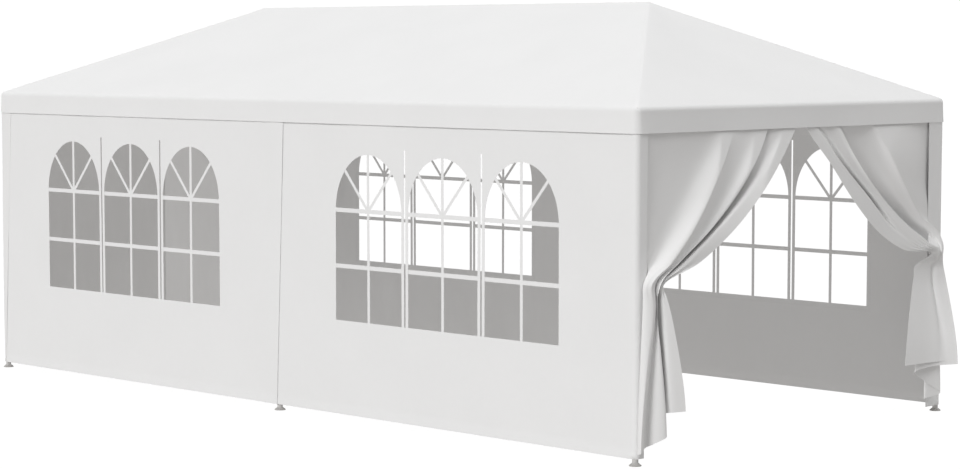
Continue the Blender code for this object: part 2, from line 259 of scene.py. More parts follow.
# Mesh helpers


def newObject(name, data):
    made = bpy.data.objects.new(name, data)
    bpy.context.scene.collection.objects.link(made)
    return made


def makePiece(name, points, faces, material, flat=None, flip=False):
    # A smooth mesh; flat is its UV map and flip turns its faces round.
    order = -1 if flip else 1
    mesh = bpy.data.meshes.new(name)
    mesh.from_pydata([tuple(p) for p in points], [], [tuple(int(i) for i in f)[::order] for f in faces])
    mesh.update()
    mesh.polygons.foreach_set("use_smooth", [True] * len(mesh.polygons))
    if flat is not None:
        corners = np.zeros(len(mesh.loops), np.int32)
        mesh.loops.foreach_get("vertex_index", corners)
        layer = mesh.uv_layers.new(name="cloth")
        layer.data.foreach_set("uv", np.asarray(flat, np.float32)[corners].ravel())
    mesh.materials.append(material)
    return newObject(name, mesh)


def gridFaces(rows, columns, closed=False):
    faces = []
    for row in range(rows - 1):
        for column in range(columns if closed else columns - 1):
            after = (column + 1) % columns
            low = row * columns
            high = low + columns
            faces.append((low + column, low + after, high + after, high + column))
    return faces


def thicken(piece, thickness):
    # Gives a sheet its thickness; the cut edges stay crisp.
    mesh = piece.data
    used = np.zeros(len(mesh.edges), np.int32)
    corners = np.zeros(len(mesh.loops), np.int32)
    mesh.loops.foreach_get("edge_index", corners)
    np.add.at(used, corners, 1)
    mesh.edges.foreach_set("use_edge_sharp", used == 1)
    solid = piece.modifiers.new("thickness", "SOLIDIFY")
    solid.thickness = thickness
    solid.offset = 0.0
    solid.use_rim = True
    solid.use_even_offset = False


def finishPiece(piece, replaced=()):
    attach(piece, "root")
    if replaced:
        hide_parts(*replaced)


def smoothStep(value):
    value = np.clip(value, 0.0, 1.0)
    return value * value * (3 - 2 * value)


# Cover: one sheet from the valance's hem over the rounded eave and up to the ridge

cover = {
    "thickness": 0.0010,
    "valancePlane": 0.0007,  # the valance's middle lies this far inside its outer face
    "flare": 0.0050,  # the hem stands out by this much
    "flareCurve": 1.4,
    "planRadius": 0.045,
    "eaveRadius": 0.034,
    "hipRadius": 0.022,
    "cornerMost": 0.6,  # share of the half width that a corner's radius takes up at most
    "ridgeRadius": 0.0220,
    "ridgeDraw": 0.8,
    "ridgeCloth": 0.003,
    "sag": 0.009,
    "ripple": 0.0011,
    "hemHeight": 0.028,
    "hemSeam": 0.001,
    "aboveHem": 0.018,
    "valanceRows": 9,
    "eaveRows": 9,
    "slopeRows": 20,
    "ridgeRows": 4,
    "longColumns": 72,
    "endColumns": 40,
    "cornerColumns": 9,
    "weld": 0.0002,
}


def coverRings():
    # Each ring is (inset of the long sides, inset of the ends, height long, height end,
    # share of the slope, outward swell, length of cloth from the hem).
    inset = cover["valancePlane"]
    eave = tent["eave"]
    rise = tent["ridge"] - eave
    slopes = (rise / tent["halfWidth"], rise / (tent["halfLength"] - tent["ridgeHalf"]))
    radius = cover["eaveRadius"]
    turns = [quarterTurn - math.atan(slope) for slope in slopes]
    centres = [eave - radius * math.tan(turn / 2) for turn in turns]
    bottom = tent["valanceBottom"]
    height = min(centres) - bottom
    hem, seam = cover["hemHeight"], cover["hemSeam"]
    levels = [0.0, 0.5 * hem, hem - seam, hem + seam]
    levels += list(np.linspace(hem + cover["aboveHem"], height, cover["valanceRows"] - 3))
    rings = []
    for level in levels:
        swell = cover["flare"] * (1 - level / height) ** cover["flareCurve"]
        rings.append((inset, inset, bottom + level, bottom + level, 0.0, swell, level))
    for step in range(cover["eaveRows"] + 1):
        share = step / cover["eaveRows"]
        (longInset, longZ), (endInset, endZ) = [
            (inset + radius * (1 - math.cos(turn * share)), centre + radius * math.sin(turn * share))
            for turn, centre in zip(turns, centres)
        ]
        rings.append((longInset, endInset, longZ, endZ, 0.0, 0.0, height + radius * turns[0] * share))
    startLong, startEnd = rings[-1][:2]
    startCloth = rings[-1][6]
    ridgeRadius = cover["ridgeRadius"]
    lean = math.atan(slopes[0])
    stopLong = tent["halfWidth"] - ridgeRadius * math.sin(lean)
    stopEnd = stopLong * slopes[0] / slopes[1]
    for share in np.linspace(0, 1, cover["slopeRows"] + 1)[1:]:
        longInset = startLong + (stopLong - startLong) * share
        endInset = startEnd + (stopEnd - startEnd) * share
        longZ = eave + (longInset - inset) * slopes[0]
        endZ = eave + (endInset - inset) * slopes[1]
        cloth = startCloth + (longInset - startLong) * math.hypot(1, slopes[0])
        rings.append((longInset, endInset, longZ, endZ, share, 0.0, cloth))
    lastLong, lastEnd, lastZ = rings[-1][:3]
    axis = lastZ - ridgeRadius * math.cos(lean)
    for step in range(1, cover["ridgeRows"] + 1):
        angle = lean * (1 - step / cover["ridgeRows"])
        longInset = tent["halfWidth"] - ridgeRadius * math.sin(angle)
        endInset = lastEnd + (longInset - lastLong) * cover["ridgeDraw"]
        top = axis + ridgeRadius * math.cos(angle)
        cloth = rings[-1][6] + cover["ridgeCloth"]
        rings.append((longInset, endInset, top, top, 1.0, 0.0, cloth))
    return rings


def rippleAt(distance, phase):
    waves = math.sin(distance * 5.3 + phase) + 0.6 * math.sin(distance * 11.9 + 2 * phase + 1)
    return waves * cover["ripple"] / cover["flare"]


def coverRing(ring):
    # The ring's points and their places on the flat cloth: half of it, then the half opposite.
    longInset, endInset, longZ, endZ, slopeShare, swell, cloth = ring
    halfWidth = max(tent["halfWidth"] - longInset, 0.0)
    halfLength = tent["halfLength"] - endInset
    radius = max(cover["planRadius"] - longInset, cover["hipRadius"])
    radius = min(radius, halfWidth * cover["cornerMost"])
    swollen = radius + swell
    lift = math.sin(math.pi * slopeShare) * cover["sag"]
    turn = np.linspace(0, quarterTurn, cover["cornerColumns"] + 2)[1:-1]
    points = []
    flat = []
    for half, flip in enumerate((1, -1)):
        spots = []
        for fraction in np.linspace(-1, 1, cover["longColumns"] + 1):
            x = fraction * (halfLength - radius)
            y = -(halfWidth + swell + rippleAt(x, half) * swell)
            spots.append((x, y, longZ - lift * math.sin(math.pi * fraction) ** 2, x))
        for angle in turn:
            share = angle / quarterTurn
            x = halfLength - radius + swollen * math.sin(angle)
            y = -(halfWidth - radius) - swollen * math.cos(angle)
            spots.append((x, y, longZ + (endZ - longZ) * share, x if share < 0.5 else y))
        for fraction in np.linspace(-1, 1, cover["endColumns"] + 1):
            y = fraction * (halfWidth - radius)
            x = halfLength + swell + rippleAt(y + 9, half) * swell
            spots.append((x, y, endZ - lift * math.cos(quarterTurn * fraction) ** 2, y))
        for angle in turn:
            share = angle / quarterTurn
            x = halfLength - radius + swollen * math.cos(angle)
            y = halfWidth - radius + swollen * math.sin(angle)
            spots.append((x, y, endZ + (longZ - endZ) * share, y if share < 0.5 else x))
        points += [(flip * x, flip * y, z) for x, y, z, along in spots]
        flat += [(flip * along, cloth) for x, y, z, along in spots]
    return points, flat


def makeCover():
    rings = [coverRing(ring) for ring in coverRings()]
    points = [point for ring, flat in rings for point in ring]
    flat = [spot for ring, flat in rings for spot in flat]
    faces = gridFaces(len(rings), len(rings[0][0]), closed=True)
    piece = makePiece("cover", points, faces, coverCloth, flat)
    piece.modifiers.new("weld", "WELD").merge_threshold = cover["weld"]
    thicken(piece, cover["thickness"])
    sides = ("front", "back", "left", "right")
    finishPiece(piece, [f"{kind}_{side}" for kind in ("roof", "valance") for side in sides])


makeCover()
print("cover made")


# Walls: flat sheets cut with their windows, bent round the corner legs

walls = {
    "thickness": 0.0010,
    "rightPlane": 1.4670,
    "leftPlane": 1.4690,
    "doorPlane": 1.4712,
    "endPlane": 2.9970,
    "bendRadius": 0.032,
    "spacing": 0.050,
    "rimGap": 0.35,  # inner points keep this share of the spacing from the rims and the lines
    "lineGap": 0.3,
    "sliver": 1e-6,  # twice the area of a triangle that is left out
    "bendLines": 9,
    "rimLeft": 0.002,  # the lines end this far from the rims
    "hem": 0.030,
    "hemStep": 0.0007,
    "hemEdge": 0.0015,
    "wave": 0.0011,
    "phase": {"front": 0.4, "back": 2.1},
    "doorPhase": {"front": 5.0, "back": 6.2},
    "bulge": (0.01, 0.075, 0.0022, 0.0040),  # middle, half width, stand-out low and more high up
    "bulgeRise": (1.2, 0.6),  # where it starts to grow, and over what height
    "seamTop": 0.082,
    "seamBottom": 0.004,
    "underLap": -0.030,
    "leftEnd": -2.965,
    "doorGap": 0.004,
    # How far from the tent's middle each flap round a corner ends, at the bottom and top
    "frontFlap": (1.400, 1.376),
    "backFlap": (1.301, 1.301),
    "doorFlap": (2.959, 2.856),
    # The flat width and the area of the cloth
    "leftCloth": {"front": (3.05, 4.05), "back": (3.05, 4.05)},
    "rightCloth": {"front": (3.10, 4.21), "back": (3.18, 4.38)},
}

windows = {
    "groupX": 1.490,
    "pitch": 0.6395,
    "halfWidth": 0.291,
    "sill": 0.620,
    "spring": 1.2985,
    "archHeight": 0.3435,
    "slitWidth": 0.012,
    "slitTop": 1.677,
    "archSteps": 40,
    "margin": 0.035,
    "filmCells": (48, 27),
    "filmInside": 0.0011,
    "barsInside": 0.0009,
    "crossBars": (0.9555, 1.2985),
    "uprightWidth": 0.022,
    "crossWidth": 0.026,
    "spokeWidth": 0.020,
    "spokeTurn": 40.4,
    "spokeLength": 0.317,
    "barOverlap": 0.006,
    "barPieces": (20, 12, 8),  # of an upright, a cross bar and a spoke
    "layer": 0.00006,
}


def archOutline(centre, gap=0.0):
    half = windows["halfWidth"] + gap
    low = windows["sill"] - gap
    high = windows["archHeight"] + gap
    points = [(centre - half, low), (centre + half, low)]
    for angle in math.pi * np.arange(windows["archSteps"] + 1) / windows["archSteps"]:
        points.append((centre + half * math.cos(angle), windows["spring"] + high * math.sin(angle)))
    return points


def slitOutline(centre):
    left, right = centre - windows["slitWidth"] / 2, centre + windows["slitWidth"] / 2
    low, high = windows["sill"], windows["slitTop"]
    return [(left, low), (right, low), (right, high), (left, high)]


def windowMiddles(end, steps=(-1, 0, 1)):
    # Middles of a wall's three windows, or of the slits between them.
    group = windows["groupX"] * (-1 if end == "left" else 1)
    return [group + step * windows["pitch"] for step in steps]


def windowHoles(end):
    holes = [archOutline(middle) for middle in windowMiddles(end)]
    return holes + [slitOutline(middle) for middle in windowMiddles(end, (-0.5, 0.5))]


def cutFine(outline, spacing, closed=True):
    # The outline with points added so that none are further apart than spacing.
    result = []
    count = len(outline)
    for index in range(count if closed else count - 1):
        start = np.array(outline[index])
        stop = np.array(outline[(index + 1) % count])
        pieces = max(1, math.ceil(np.linalg.norm(stop - start) / spacing))
        result += [tuple(start + (stop - start) * step / pieces) for step in range(pieces)]
    if not closed:
        result.append(tuple(outline[-1]))
    return result


def inside(outline, points):
    x, z = points[:, 0], points[:, 1]
    result = np.zeros(len(points), bool)
    for (x0, z0), (x1, z1) in zip(outline, outline[1:] + outline[:1]):
        if z0 == z1:
            continue
        crosses = (z0 > z) != (z1 > z)
        result ^= crosses & (x < (x1 - x0) * (z - z0) / (z1 - z0) + x0)
    return result


def distanceTo(outline, points):
    best = np.full(len(points), np.inf)
    for start, stop in zip(outline, outline[1:] + outline[:1]):
        start, stop = np.array(start), np.array(stop)
        edge = stop - start
        share = np.clip(((points - start) @ edge) / max(edge @ edge, 1e-12), 0, 1)
        away = points - start - share[:, None] * edge
        best = np.minimum(best, np.linalg.norm(away, axis=1))
    return best


def triangulate(outline, holes, lines, spacing):
    # Flat triangles inside outline and outside holes, with edges along the lines.
    outline = cutFine(outline, spacing)
    holes = [cutFine(hole, spacing) for hole in holes]
    loops = [outline, *holes]
    corners = np.array(outline)
    low, high = corners.min(0), corners.max(0)
    xs = np.arange(low[0] + spacing / 2, high[0], spacing)
    zs = np.arange(low[1] + spacing / 2, high[1], spacing)
    grid = np.array([(x, z) for z in zs for x in xs])
    keep = inside(outline, grid)
    for loop in loops:
        keep &= distanceTo(loop, grid) > spacing * walls["rimGap"]
    for line in lines:
        keep &= distanceTo(list(line), grid) > spacing * walls["lineGap"]
    for hole in holes:
        keep &= ~inside(hole, grid)
    verts = []
    edges = []
    fineLines = [cutFine(list(line), spacing, closed=False) for line in lines]
    for number, chain in enumerate(loops + fineLines):
        first = len(verts)
        verts += chain
        edges += [(i, i + 1) for i in range(first, len(verts) - 1)]
        if number < len(loops):
            edges.append((len(verts) - 1, first))
    verts += [tuple(point) for point in grid[keep]]
    made = delaunay_2d_cdt([Vector(v) for v in verts], edges, [], 0, 1e-6)
    points = np.array([tuple(v) for v in made[0]])
    faces = np.array(made[2])
    middles = points[faces].mean(1)
    sides = points[faces[:, 1:]] - points[faces[:, :1]]
    doubled = sides[:, 0, 0] * sides[:, 1, 1] - sides[:, 0, 1] * sides[:, 1, 0]
    good = inside(outline, middles) & (np.abs(doubled) > walls["sliver"])
    for hole in holes:
        good &= ~inside(hole, middles)
    return points, faces[good]


def bendRound(s, off, reach, plane):
    # Plan place (p, q) of a point s along a panel that turns round a corner; off is outwards.
    radius = walls["bendRadius"]
    straight = reach - radius
    arc = quarterTurn * radius
    turned = np.clip((s - straight) / arc, 0, 1) * quarterTurn
    after = np.clip(s - straight - arc, 0, None)
    before = np.minimum(s, straight)
    p = before + (radius + off) * np.sin(turned)
    q = plane - radius + (radius + off) * np.cos(turned) - after
    return p, q


def wallWave(s, z, phase):
    # Soft hang of the sheet between its fastenings, a millimetre or so.
    fade = smoothStep((z - tent["wallBottom"]) / 0.3) * 0.6 + 0.4
    fade = fade * smoothStep((tent["wallTop"] - z) / 0.35)
    waves = np.sin(s * 4.1 + phase) * np.sin(z * 2.3 + 0.7 * phase)
    waves = waves + 0.5 * np.sin(s * 9.7 + z * 3.1 + 2 * phase)
    return walls["wave"] * fade * waves


def hemSwell(z):
    # The folded hem along the bottom is a little thicker than the sheet.
    rise = (z - tent["wallBottom"] - walls["hem"]) / walls["hemEdge"]
    return walls["hemStep"] * (1 - smoothStep(rise))


def seamBulge(s, z):
    # The lapped edge of the left walls stands out where it passes the middle leg.
    middle, width, low, more = walls["bulge"]
    start, height = walls["bulgeRise"]
    near = np.exp(-(((s - middle) / width) ** 2))
    return near * (low + more * smoothStep((z - start) / height))


def onWall(kind, side, s, z, extra=0.0):
    # Places in the tent of points on a left or right wall or on the closed door, with s along
    # the panel from the tent's middle, z up and extra outwards.
    phase = walls["doorPhase" if kind == "door" else "phase"][side]
    off = wallWave(s, z, phase) + hemSwell(z)
    way = -1 if side == "front" else 1
    if kind == "left":
        off = off + seamBulge(s, z)
    off = off + extra
    if kind == "left":
        x, y = s, way * (walls["leftPlane"] + off)
    elif kind == "right":
        x, across = bendRound(s, off, walls["endPlane"], walls["rightPlane"])
        y = way * across
    else:
        along, across = bendRound(s, off, walls["doorPlane"], walls["endPlane"])
        x, y = -across, way * along
    return np.stack([x, y, z], 1)


def flapEnds(reach, plane, stops):
    # Distance along a panel to the two corners of its flap.
    radius = walls["bendRadius"]
    return [reach - radius + quarterTurn * radius + (plane - stop - radius) for stop in stops]


def foldLines(start, ends, reach=None):
    # Edges that the sheet needs: two along its hem, and some along the bend where it has one.
    bottom = tent["wallBottom"]
    stop = min(ends)
    level = bottom + walls["hem"]
    lines = [((start, height), (stop, height)) for height in (level, level + walls["hemEdge"])]
    if reach is not None:
        radius = walls["bendRadius"]
        first = reach - radius
        for s in np.linspace(first, first + quarterTurn * radius, walls["bendLines"]):
            lines.append(((s, bottom + walls["rimLeft"]), (s, tent["wallTop"] - walls["rimLeft"])))
    return lines


def makeSheet(name, kind, side, start, ends, holes, lines, material):
    # A panel from start to its ends, which are (at the bottom, at the top).
    bottom, top = tent["wallBottom"], tent["wallTop"]
    outline = [(start, bottom), (ends[0], bottom), (ends[1], top), (start, top)]
    flat, faces = triangulate(outline, holes, lines, walls["spacing"])
    points = onWall(kind, side, flat[:, 0], flat[:, 1])
    piece = makePiece(name, points, faces, material, flat, flip=side == "back")
    thicken(piece, walls["thickness"])
    return piece


def makeWalls():
    for side in ("front", "back"):
        for end in ("left", "right"):
            if end == "left":
                start, ends, reach = walls["leftEnd"], (walls["seamBottom"], walls["seamTop"]), None
            else:
                start, reach = walls["underLap"], walls["endPlane"]
                ends = flapEnds(reach, walls["rightPlane"], walls[f"{side}Flap"])
            holes = windowHoles(end)
            lines = foldLines(start, ends, reach)
            piece = makeSheet(f"wallCloth_{side}_{end}", end, side, start, ends, holes, lines, wallCloth)
            finishPiece(piece, [f"wall_{side}_{end}"])


makeWalls()
print("walls made")


# Windows: clear film inside each wall, with the white bars printed on it


def stripMesh(centre, start, stop, width, pieces):
    # A narrow flat strip in the window's own plane, as points and quads.
    start, stop = np.array(start), np.array(stop)
    along = (stop - start) / np.linalg.norm(stop - start)
    across = np.array([along[1], -along[0]]) * width / 2
    points = []
    for step in range(pieces + 1):
        middle = start + (stop - start) * step / pieces
        points += [middle - across, middle + across]
    points = [(centre + p[0], p[1]) for p in points]
    faces = [(2 * i, 2 * i + 1, 2 * i + 3, 2 * i + 2) for i in range(pieces)]
    return points, faces


def barsOf(end):
    points = []
    faces = []
    hidden = windows["barOverlap"]
    sill, spring = windows["sill"], windows["spring"]
    crown = spring + windows["archHeight"]
    half = windows["halfWidth"] + hidden
    turn = math.radians(windows["spokeTurn"])
    reach = windows["spokeLength"] + hidden
    uprightPieces, crossPieces, spokePieces = windows["barPieces"]
    strips = [((0, sill - hidden), (0, crown + hidden), windows["uprightWidth"], uprightPieces)]
    for level in windows["crossBars"]:
        strips.append(((-half, level), (half, level), windows["crossWidth"], crossPieces))
    for way in (-1, 1):
        tip = (way * reach * math.sin(turn), spring + reach * math.cos(turn))
        strips.append(((0, spring), tip, windows["spokeWidth"], spokePieces))
    for middle in windowMiddles(end):
        for layer, strip in enumerate(strips):
            made, quads = stripMesh(middle, *strip)
            faces += [tuple(i + len(points) for i in quad) for quad in quads]
            # Each strip lies just over the one before, so that none share a plane.
            points += [(s, z, layer * windows["layer"]) for s, z in made]
    return np.array(points), faces


def makeWindows():
    margin = windows["margin"]
    reach = windows["pitch"] + windows["halfWidth"] + margin
    across, up = windows["filmCells"]
    for side in ("front", "back"):
        for end in ("left", "right"):
            middle = windowMiddles(end)[1]
            xs = np.linspace(middle - reach, middle + reach, across + 1)
            zs = np.linspace(windows["sill"] - margin, windows["slitTop"] + margin, up + 1)
            s, z = [values.ravel() for values in np.meshgrid(xs, zs)]
            points = onWall(end, side, s, z, -windows["filmInside"])
            faces = gridFaces(len(zs), len(xs))
            piece = makePiece(f"windowFilm_{side}_{end}", points, faces, film, flip=side == "back")
            finishPiece(piece, [f"window_film_{side}_{end}"])
            flat, faces = barsOf(end)
            points = onWall(end, side, flat[:, 0], flat[:, 1], flat[:, 2] - windows["barsInside"])
            piece = makePiece(f"windowBars_{side}_{end}", points, faces, printedBars, flip=side == "back")
            finishPiece(piece)


makeWindows()
print("windows made")


# Closed door on the left end: two sheets that meet at a zip and turn round the corner legs


def makeClosedDoor():
    start, reach = walls["doorGap"], walls["doorPlane"]
    ends = flapEnds(reach, walls["endPlane"], walls["doorFlap"])
    for side in ("front", "back"):
        lines = foldLines(start, ends, reach)
        piece = makeSheet(f"doorCloth_{side}", "door", side, start, ends, [], lines, doorCloth)
        finishPiece(piece, [f"door_panel_{side}"])


makeClosedDoor()
print("closed door made")


# Door curtains on the open end, tied back to the corner legs.
# Each guide is one line down the cloth, from the corner's edge to the free edge, in thousandths:
# its share of the way across at five levels and how far it stands out there, its place and
# stand-out at the tie, and its place, stand-out, early spread and height at the hem. Places are
# as seen at 45 degrees.

curtains = {
    "plane": 2.990,
    "edgePlane": 3.000,
    "behindValance": (1.832, 0.004, 0.22),  # height of its hem, room behind it, flare below
    "softness": 700,  # how sharply the cloth meets the room behind the valance
    "apart": 0.004,  # the curtains stay this far from the door's middle
    "thickness": 0.0011,
    "columnsPerGuide": 7,
    "rows": 150,
    "crease": (10, 13, 17, 25),  # the guides that it draws along: from, fully, to
    "creaseDepth": 0.07,
    "pleatWaves": (119, 61),
    "pleatReach": (0.06, 0.025),  # above and below the tie
    "pleatFrom": (0.42, 0.25),  # where across they grow, and their share before that
    "seamColumn": 5,
    "seamRow": 3,
    "flat": (1.39, 1.87),
    "levels": (0.0, 0.12, 0.30, 0.50, 0.70, 0.85, 1.0),
    "tailLevels": (0.07, 0.2, 0.4, 0.65, 0.85, 1.0),
    "tailSpacing": 0.75,
    "spread": 1.4,
}

frontCurtain = {
    "legEdge": ((1.412, 1.93), (1.412, 1.61), (1.412, 1.29), (1.405, 0.985)),
    "freeEdge": ((0.018, 1.93), (-0.053, 1.93), (0.490, 1.158), (1.280, 0.985)),
    "lean": 1,
    "tuck": (0.0, 0.0, 0.0, 0.0, 0.0, 0.0),
    "sway": (0.0, 0.0, 0.0, 0.0, 0.0, 0.0),
    "opensBy": 0.2,
    "pleat": 0.0105,
    "guides": (
        (0, 0, 0, 0, 0, 0, 0, 0, 0, 0, 1405, 0, 1405, 0, 0, 120),
        (80, 70, 60, 50, 20, -4, -12, -12, -4, 0, 1395, 1, 1395, 0, 0, 125),
        (200, 170, 140, 100, 50, 0, -7, -7, -3, 0, 1365, -3, 1290, -14, 0, 140),
        (360, 340, 280, 165, 85, 0, -8, -4, -5, -1, 1372, 6, 1375, 2, 0, 110),
        (410, 395, 340, 220, 130, 1, -2, 5, -1, 0, 1395, 12, 1425, 10, 0, 88),
        (440, 430, 390, 280, 200, 2, 7, 20, 7, 6, 1423, 18, 1459, 24, -300, 74),
        (470, 465, 435, 350, 280, 4, 19, 36, 27, 26, 1424, 30, 1465, 31, -300, 72),
        (500, 495, 475, 420, 360, 6, 31, 52, 52, 50, 1408, 46, 1456, 43, -400, 74),
        (525, 520, 507, 475, 430, 7, 39, 63, 73, 66, 1380, 62, 1446, 56, -500, 77),
        (541, 536, 525, 508, 475, 7, 43, 68, 80, 73, 1352, 72, 1436, 65, -500, 80),
        (550, 546, 536, 524, 500, 6, 42, 67, 79, 72, 1341, 70, 1429, 61, -500, 82),
        (556, 551, 541, 530, 510, 4, 32, 54, 64, 60, 1334, 56, 1422, 40, -500, 86),
        (568, 562, 552, 540, 520, 3, 24, 44, 51, 51, 1325, 44, 1405, 20, -500, 94),
        (600, 595, 585, 570, 540, 2, 17, 35, 44, 48, 1316, 40, 1380, 16, -500, 103),
        (660, 655, 640, 615, 563, 2, 14, 30, 43, 49, 1310, 46, 1352, 46, -500, 112),
        (710, 705, 690, 655, 583, 3, 19, 38, 48, 52, 1305, 56, 1318, 66, -500, 125),
        (760, 762, 745, 695, 600, 6, 37, 59, 58, 56, 1301, 63, 1262, 90, -500, 143),
        (785, 793, 778, 718, 628, 6, 43, 63, 62, 58, 1297, 64, 1221, 100, -500, 154),
        (795, 800, 787, 723, 640, 3, 34, 48, 46, 46, 1296, 48, 1223, 85, -500, 170),
        (790, 775, 745, 667, 545, -1, 6, 5, 0, 5, 1305, 20, 1262, 52, -300, 200),
        (800, 740, 690, 590, 430, -3, -20, -30, -35, -30, 1340, -5, 1435, -4, 100, 220),
        (805, 710, 650, 530, 370, -4, -35, -60, -65, -60, 1300, -10, 1262, 22, 200, 240),
        (810, 750, 710, 620, 470, -3, -40, -60, -65, -60, 1340, -20, 1440, -34, 200, 260),
        (830, 812, 803, 745, 665, -2, 2, -22, -30, -30, 1302, 0, 1262, 4, 100, 275),
        (860, 862, 838, 770, 695, 1, 8, 40, 43, 42, 1290, 44, 1238, 62, 100, 284),
        (905, 905, 885, 800, 730, 2, 17, 58, 62, 58, 1281, 58, 1190, 94, 100, 287),
        (945, 945, 930, 870, 820, 5, 33, 66, 68, 62, 1272, 64, 1130, 113, 100, 289),
        (1000, 1000, 1000, 1000, 1000, 6, 42, 79, 80, 64, 1262, 68, 1070, 132, 100, 290),
    ),
}

backCurtain = {
    "legEdge": ((1.412, 1.93), (1.412, 1.61), (1.412, 1.29), (1.405, 1.000)),
    "freeEdge": ((-0.117, 1.93), (0.375, 1.640), (0.585, 1.037), (1.320, 1.000)),
    "lean": -1,
    "tuck": (0.036, 0.044, 0.030, 0.010, 0.0, 0.0),
    "sway": (0.052, 0.068, 0.046, 0.012, 0.0, 0.0),
    "opensBy": 0.1,
    "pleat": 0.0065,
    "guides": (
        (0, 0, 0, 0, 0, 0, 0, 0, 0, 0, 1405, 0, 1400, 0, 0, 85),
        (100, 100, 110, 80, 40, -10, -20, -26, -10, 0, 1375, 1, 1290, -4, 200, 90),
        (160, 150, 170, 120, 160, 0, 6, 0, -2, 0, 1325, 4, 1262, 12, 200, 94),
        (240, 220, 240, 160, 260, 8, 22, 18, 2, 3, 1305, 16, 1385, 34, 200, 108),
        (330, 300, 300, 200, 230, 12, 28, 24, 8, 10, 1330, 34, 1474, 62, 400, 123),
        (400, 370, 340, 230, 130, 14, 34, 30, 14, 24, 1370, 45, 1350, 34, 200, 167),
        (440, 415, 365, 255, 50, 16, 40, 34, 18, 36, 1405, 51, 1245, 10, 200, 230),
        (465, 440, 382, 272, 10, 17, 44, 37, 22, 43, 1428, 56, 1095, 36, 200, 283),
        (485, 455, 395, 285, 0, 17, 45, 38, 24, 46, 1442, 60, 1380, 60, 0, 310),
        (505, 475, 410, 300, 20, 12, 36, 34, 22, 46, 1442, 64, 1600, 156, 0, 306),
        (535, 505, 440, 335, 60, 0, 18, 24, 14, 46, 1436, 65, 1575, 144, 0, 318),
        (580, 550, 490, 380, 110, -10, 0, 10, 0, 42, 1428, 64, 1532, 127, 0, 326),
        (635, 610, 550, 430, 170, -18, -14, -6, -20, 34, 1420, 60, 1490, 110, 0, 330),
        (700, 710, 665, 530, 300, -20, -55, -95, -105, -35, 1416, 44, 1462, 100, -300, 332),
        (740, 800, 760, 660, 470, -20, -65, -110, -120, -75, 1410, 36, 1435, 93, -500, 332),
        (755, 780, 725, 610, 440, -8, -5, -20, -30, -10, 1407, 48, 1415, 88, -500, 332),
        (765, 764, 697, 568, 400, 10, 34, 38, 50, 62, 1402, 62, 1400, 85, -300, 331),
        (775, 766, 702, 575, 410, 12, 36, 42, 56, 66, 1392, 63, 1380, 82, 0, 331),
        (800, 790, 735, 620, 470, 4, 20, 34, 56, 66, 1380, 62, 1345, 76, 100, 331),
        (840, 830, 770, 670, 540, 0, 14, 35, 55, 65, 1368, 61, 1295, 68, 250, 331),
        (875, 870, 790, 720, 610, 0, 14, 35, 54, 64, 1357, 60, 1245, 63, 350, 331),
        (900, 905, 835, 765, 670, -12, -50, -60, 40, 63, 1347, 59, 1200, 59, 400, 331),
        (925, 905, 822, 790, 720, 14, 40, 52, 54, 62, 1340, 58, 1160, 56, 450, 330),
        (945, 925, 850, 830, 790, 8, 30, 48, 52, 60, 1332, 57, 1125, 53, 500, 330),
        (970, 965, 920, 910, 890, 4, 22, 43, 49, 58, 1322, 56, 1090, 50, 500, 330),
        (1000, 1000, 1000, 1000, 1000, 4, 20, 38, 46, 55, 1312, 55, 1055, 47, 500, 330),
    ),
}


def cubicAt(corners, share):
    rest = 1 - share
    return np.array((rest**3, 3 * share * rest**2, 3 * share**2 * rest, share**3)) @ np.array(corners)


def tailEase(level, early, opensBy):
    # How far the tail has spread at a level: quickly under the tie, then evenly.
    quick = 1 - (1 - min(level / opensBy, 1.0)) ** 2
    return early * quick + (1 - early) * (1 - (1 - level) ** curtains["spread"])


def guideLine(plan, place, guide):
    # Stations down one guide as (distance from the door's middle, stand-out, height).
    values = np.array(guide) / 1000
    shares, stands = values[:5], values[5:10]
    tieS, tieD, hemS, hemD, early, hemZ = values[10:]
    tieZ = plan["legEdge"][3][1]
    stations = []
    for index, level in enumerate(curtains["levels"][:-1]):
        share = shares[max(index - 1, 0)]
        leg = cubicAt(plan["legEdge"], level)
        free = cubicAt(plan["freeEdge"], level)
        spot = leg * (1 - share) + free * share
        stations.append([spot[0], stands[index - 1] if index else 0.0, spot[1]])
    stations.append([tieS, tieD, tieZ])
    isCrease = np.interp(place, curtains["crease"], (0.0, 1.0, 1.0, 0.0))
    for level, tuck, sway in zip(curtains["tailLevels"], plan["tuck"], plan["sway"]):
        ease = tailEase(level, early, plan["opensBy"])
        stations.append(
            [
                tieS + (hemS - tieS) * ease - sway * isCrease,
                tieD + (hemD - tieD) * ease - tuck * min(tieD / curtains["creaseDepth"], 1.0),
                tieZ + (hemZ - tieZ) * level,
            ]
        )
    line = np.array(stations)
    # Seen at 45 degrees, what stands out looks shifted along the door by as much.
    line[:, 0] += plan["lean"] * (curtains["plane"] + line[:, 1] - curtains["edgePlane"])
    line[:, 0] = np.maximum(line[:, 0], curtains["apart"])
    return line


def smoothDown(stations, knots, samples):
    # Hermite curve through the stations, for every guide at once.
    tangents = np.gradient(stations, knots, axis=1)
    result = []
    for sample in samples:
        index = min(int(np.searchsorted(knots, sample, side="right")) - 1, len(knots) - 2)
        width = knots[index + 1] - knots[index]
        t = (sample - knots[index]) / width
        result.append(
            (2 * t**3 - 3 * t**2 + 1) * stations[:, index]
            + (t**3 - 2 * t**2 + t) * width * tangents[:, index]
            + (3 * t**2 - 2 * t**3) * stations[:, index + 1]
            + (t**3 - t**2) * width * tangents[:, index + 1]
        )
    return np.array(result)


